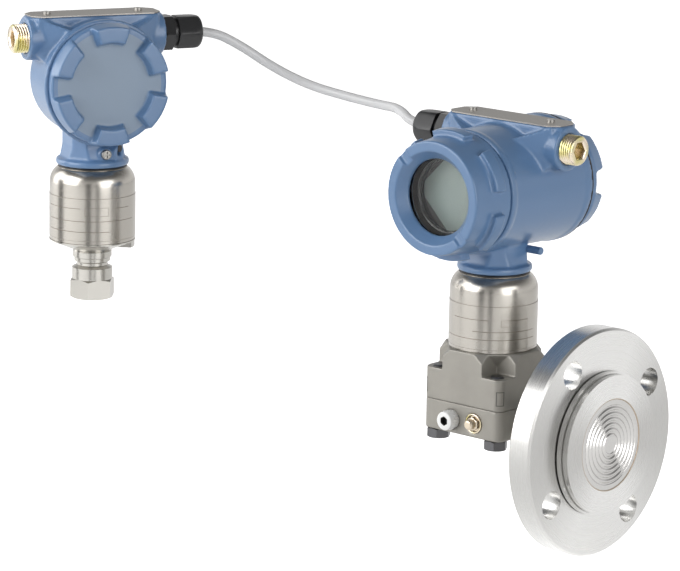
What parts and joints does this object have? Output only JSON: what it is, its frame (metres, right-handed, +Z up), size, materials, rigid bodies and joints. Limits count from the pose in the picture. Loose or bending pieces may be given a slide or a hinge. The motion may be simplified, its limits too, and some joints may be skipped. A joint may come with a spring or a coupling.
{
  "type": "pressure transmitter",
  "caption": "Flanged diaphragm seal transmitter with a display, cabled to a remote in-line sensor; covers unscrew and both housings swivel on their sensor modules.",
  "frame": {"origin": "centre of the process flange's front bolt face, on the seal's axis", "axes": "+X out of the flange towards the process, +Z up along the sensor module, display facing -Y"},
  "size_m": [0.4056, 0.2451, 0.3353],
  "materials": {
    "flange_steel": "turned, bright",
    "seal_steel": "turned, bright",
    "foil_steel": "pressed foil, bright",
    "block_steel": "blasted grey",
    "bolt_steel": "dark plated",
    "can_steel": "fine turned",
    "label_steel": "etched plate",
    "blue_paint": "gloss powder coat",
    "disc_paint": "gloss powder coat",
    "black_rubber": "satin",
    "black_nylon": "satin moulded",
    "zinc_yellow": "yellow passivated",
    "bronze": "satin",
    "white_plug": "taped steel plug",
    "glass": "clear",
    "black_plastic": "satin moulded",
    "panel": "grey green, gloss",
    "board_green": "solder mask",
    "potting": "moulded",
    "cell_steel": "turned",
    "terminal_plastic": "moulded",
    "plate_steel": "etched plate",
    "screw_steel": "bright",
    "cable_grey": "translucent jacket"
  },
  "bodies": {
    "sensor_base": {"process_flange": "flange_steel", "seal_body": "seal_steel", "diaphragm": "foil_steel", "seal_neck": "seal_steel", "lower_block": "block_steel", "sensor_casting": "block_steel", "block_bolts": "bolt_steel", "vent_plug": "white_plug", "fill_screw": "bronze", "module_can": "can_steel", "module_label": "label_steel", "neck_seal": "black_rubber", "module_neck": "can_steel", "sensor_cell": "cell_steel", "sensor_board": "board_green"},
    "housing": {"main_housing": "blue_paint", "display_bezel": "black_plastic", "lcd_panel": "panel", "electronics_module": "potting", "terminal_block": "terminal_plastic", "terminal_screws": "screw_steel", "nameplate": "plate_steel", "nameplate_screws": "screw_steel", "set_screw": "bolt_steel", "conduit_plug": "zinc_yellow", "gland_body": "black_nylon", "gland_nut": "black_nylon", "gland_insert": "black_rubber", "link_cable": "cable_grey", "remote_housing": "blue_paint", "remote_terminal_block": "terminal_plastic", "remote_terminal_screws": "screw_steel", "remote_nameplate": "plate_steel", "remote_nameplate_screws": "screw_steel", "remote_set_screw": "bolt_steel", "remote_ground_screw": "screw_steel", "remote_plug": "zinc_yellow", "remote_gland_body": "black_nylon", "remote_gland_nut": "black_nylon", "remote_gland_insert": "black_rubber"},
    "display_seal": {"display_cover_seal": "black_rubber"},
    "display_cap": {"display_cover": "blue_paint", "window_glass": "glass", "window_ring": "black_plastic"},
    "rear_seal": {"rear_cover_seal": "black_rubber"},
    "rear_cap": {"rear_cover": "blue_paint"},
    "remote_seal": {"remote_cover_seal": "black_rubber"},
    "remote_cap": {"remote_cover": "disc_paint"},
    "remote_module": {"remote_module_can": "can_steel", "remote_module_label": "label_steel", "remote_neck_seal": "black_rubber", "remote_module_neck": "can_steel", "remote_sensor_cell": "cell_steel", "remote_sensor_board": "board_green", "remote_module_base": "can_steel", "remote_process_neck": "can_steel", "remote_fitting": "can_steel"}
  },
  "joints": [
    {"name": "housing_swivel", "type": "hinge", "parent": "sensor_base", "child": "housing", "pos_m": [-0.0934, 0, 0.1025], "axis": [0, 0, 1], "range_deg": [-180, 180]},
    {"name": "display_cover_travel", "type": "slide", "parent": "housing", "child": "display_seal", "axis": [0, -1, 0], "range_m": [0, 0.0121]},
    {"name": "display_cover_turn", "type": "hinge", "parent": "display_seal", "child": "display_cap", "pos_m": [-0.0934, -0.0345, 0.1589], "axis": [0, -1, 0], "range_deg": [0, 2160]},
    {"name": "rear_cover_travel", "type": "slide", "parent": "housing", "child": "rear_seal", "axis": [0, 1, 0], "range_m": [0, 0.0121]},
    {"name": "rear_cover_turn", "type": "hinge", "parent": "rear_seal", "child": "rear_cap", "pos_m": [-0.0934, 0.049, 0.1589], "axis": [0, 1, 0], "range_deg": [0, 2160]},
    {"name": "remote_cover_travel", "type": "slide", "parent": "housing", "child": "remote_seal", "axis": [0.9063, -0.4226, 0], "range_m": [0, 0.0121]},
    {"name": "remote_cover_turn", "type": "hinge", "parent": "remote_seal", "child": "remote_cap", "pos_m": [-0.33533, -0.12441, 0.212], "axis": [0.9063, -0.4226, 0], "range_deg": [0, 2160]},
    {"name": "remote_module_swivel", "type": "hinge", "parent": "housing", "child": "remote_module", "pos_m": [-0.3598, -0.113, 0.1526], "axis": [0, 0, 1], "range_deg": [-180, 180]}
  ],
  "couplings": [
    {"joint": "display_cover_travel", "follows": "display_cover_turn", "m_per_rad": 0.00031831},
    {"joint": "rear_cover_travel", "follows": "rear_cover_turn", "m_per_rad": 0.00031831},
    {"joint": "remote_cover_travel", "follows": "remote_cover_turn", "m_per_rad": 0.00031831}
  ]
}
